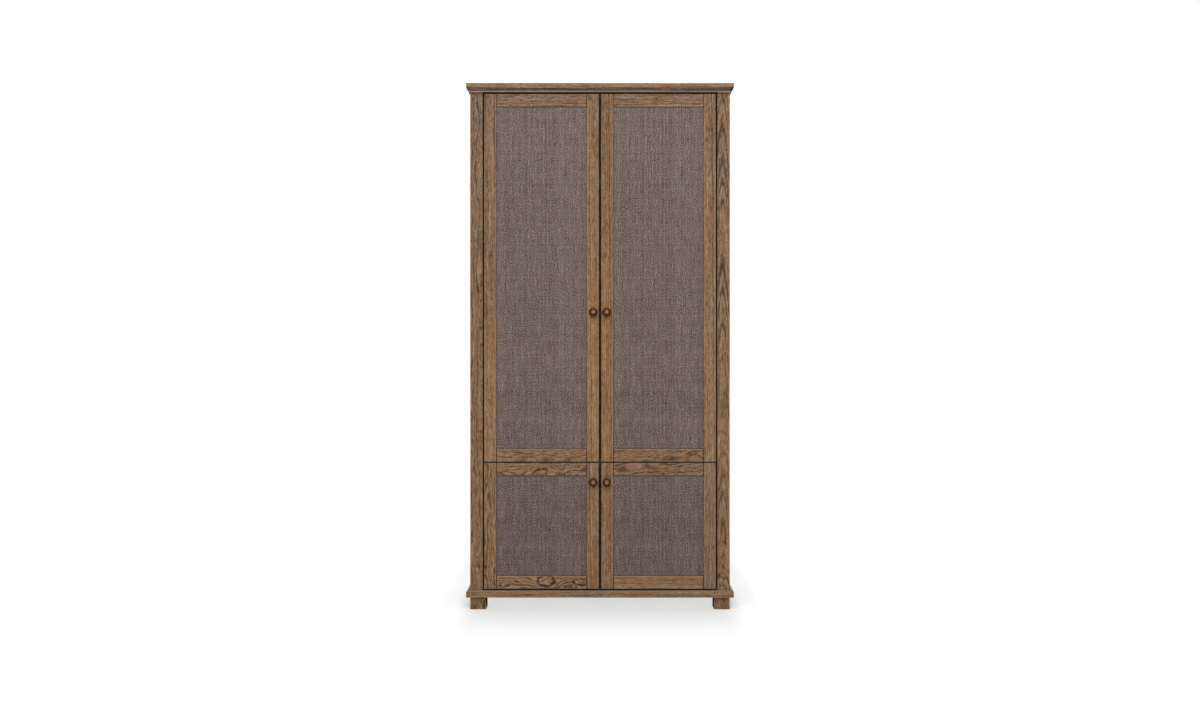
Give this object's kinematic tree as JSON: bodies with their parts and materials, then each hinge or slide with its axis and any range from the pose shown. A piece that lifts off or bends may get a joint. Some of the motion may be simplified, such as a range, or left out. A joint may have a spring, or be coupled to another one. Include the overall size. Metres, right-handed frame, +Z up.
{
  "type": "tall cabinet",
  "caption": "Tall wooden cabinet with short doors below tall ones, linen-panelled frames on pivot hinges, round knobs, inner shelves, a moulded cornice and base, and block feet.",
  "frame": {"origin": "middle of the floor rectangle under the whole cabinet, knobs included", "axes": "+Z up, the doors face -Y, +X to the right as seen from the front"},
  "size_m": [1.016, 0.464, 2],
  "materials": {
    "stained_oak": "satin",
    "oak_board": "satin",
    "linen": "woven, slubbed",
    "antique_brass": "dark patina, rubbed bright in the middle",
    "bronzed_steel": "bronzed",
    "catch_plastic": "matt"
  },
  "bodies": {
    "carcass": {"foot_front_left": "stained_oak", "foot_front_right": "stained_oak", "foot_back_left": "stained_oak", "foot_back_right": "stained_oak", "base_board": "stained_oak", "post_front_left": "stained_oak", "post_front_right": "stained_oak", "post_back_left": "stained_oak", "post_back_right": "stained_oak", "side_rail_bottom_left": "stained_oak", "side_rail_top_left": "stained_oak", "side_rail_bottom_right": "stained_oak", "side_rail_top_right": "stained_oak", "side_panel_left": "oak_board", "side_panel_right": "oak_board", "back_panel": "oak_board", "fixed_shelf": "oak_board", "shelf_1": "oak_board", "shelf_2": "oak_board", "shelf_3": "oak_board", "cornice_front": "stained_oak", "cornice_left": "stained_oak", "cornice_right": "stained_oak", "top_board": "stained_oak", "pivot_bottom_left": "bronzed_steel", "pivot_middle_left": "bronzed_steel", "pivot_top_left": "bronzed_steel", "pivot_bottom_right": "bronzed_steel", "pivot_middle_right": "bronzed_steel", "pivot_top_right": "bronzed_steel", "magnetic_catch_upper": "catch_plastic", "magnetic_catch_lower": "catch_plastic"},
    "upper_left_door": {"upper_left_hinge_stile": "stained_oak", "upper_left_meeting_stile": "stained_oak", "upper_left_top_rail": "stained_oak", "upper_left_bottom_rail": "stained_oak", "upper_left_panel": "oak_board", "upper_left_linen": "linen", "upper_left_knob": "antique_brass"},
    "upper_right_door": {"upper_right_hinge_stile": "stained_oak", "upper_right_meeting_stile": "stained_oak", "upper_right_top_rail": "stained_oak", "upper_right_bottom_rail": "stained_oak", "upper_right_panel": "oak_board", "upper_right_linen": "linen", "upper_right_knob": "antique_brass"},
    "lower_left_door": {"lower_left_hinge_stile": "stained_oak", "lower_left_meeting_stile": "stained_oak", "lower_left_top_rail": "stained_oak", "lower_left_bottom_rail": "stained_oak", "lower_left_panel": "oak_board", "lower_left_linen": "linen", "lower_left_knob": "antique_brass"},
    "lower_right_door": {"lower_right_hinge_stile": "stained_oak", "lower_right_meeting_stile": "stained_oak", "lower_right_top_rail": "stained_oak", "lower_right_bottom_rail": "stained_oak", "lower_right_panel": "oak_board", "lower_right_linen": "linen", "lower_right_knob": "antique_brass"}
  },
  "joints": [
    {"name": "upper_left_hinge", "type": "hinge", "parent": "carcass", "child": "upper_left_door", "pos_m": [-0.432, -0.194, 0.562], "axis": [0, 0, -1], "range_deg": [0, 105]},
    {"name": "upper_right_hinge", "type": "hinge", "parent": "carcass", "child": "upper_right_door", "pos_m": [0.432, -0.194, 0.562], "axis": [0, 0, 1], "range_deg": [0, 105]},
    {"name": "lower_left_hinge", "type": "hinge", "parent": "carcass", "child": "lower_left_door", "pos_m": [-0.432, -0.194, 0.0787], "axis": [0, 0, -1], "range_deg": [0, 105]},
    {"name": "lower_right_hinge", "type": "hinge", "parent": "carcass", "child": "lower_right_door", "pos_m": [0.432, -0.194, 0.0787], "axis": [0, 0, 1], "range_deg": [0, 105]}
  ]
}
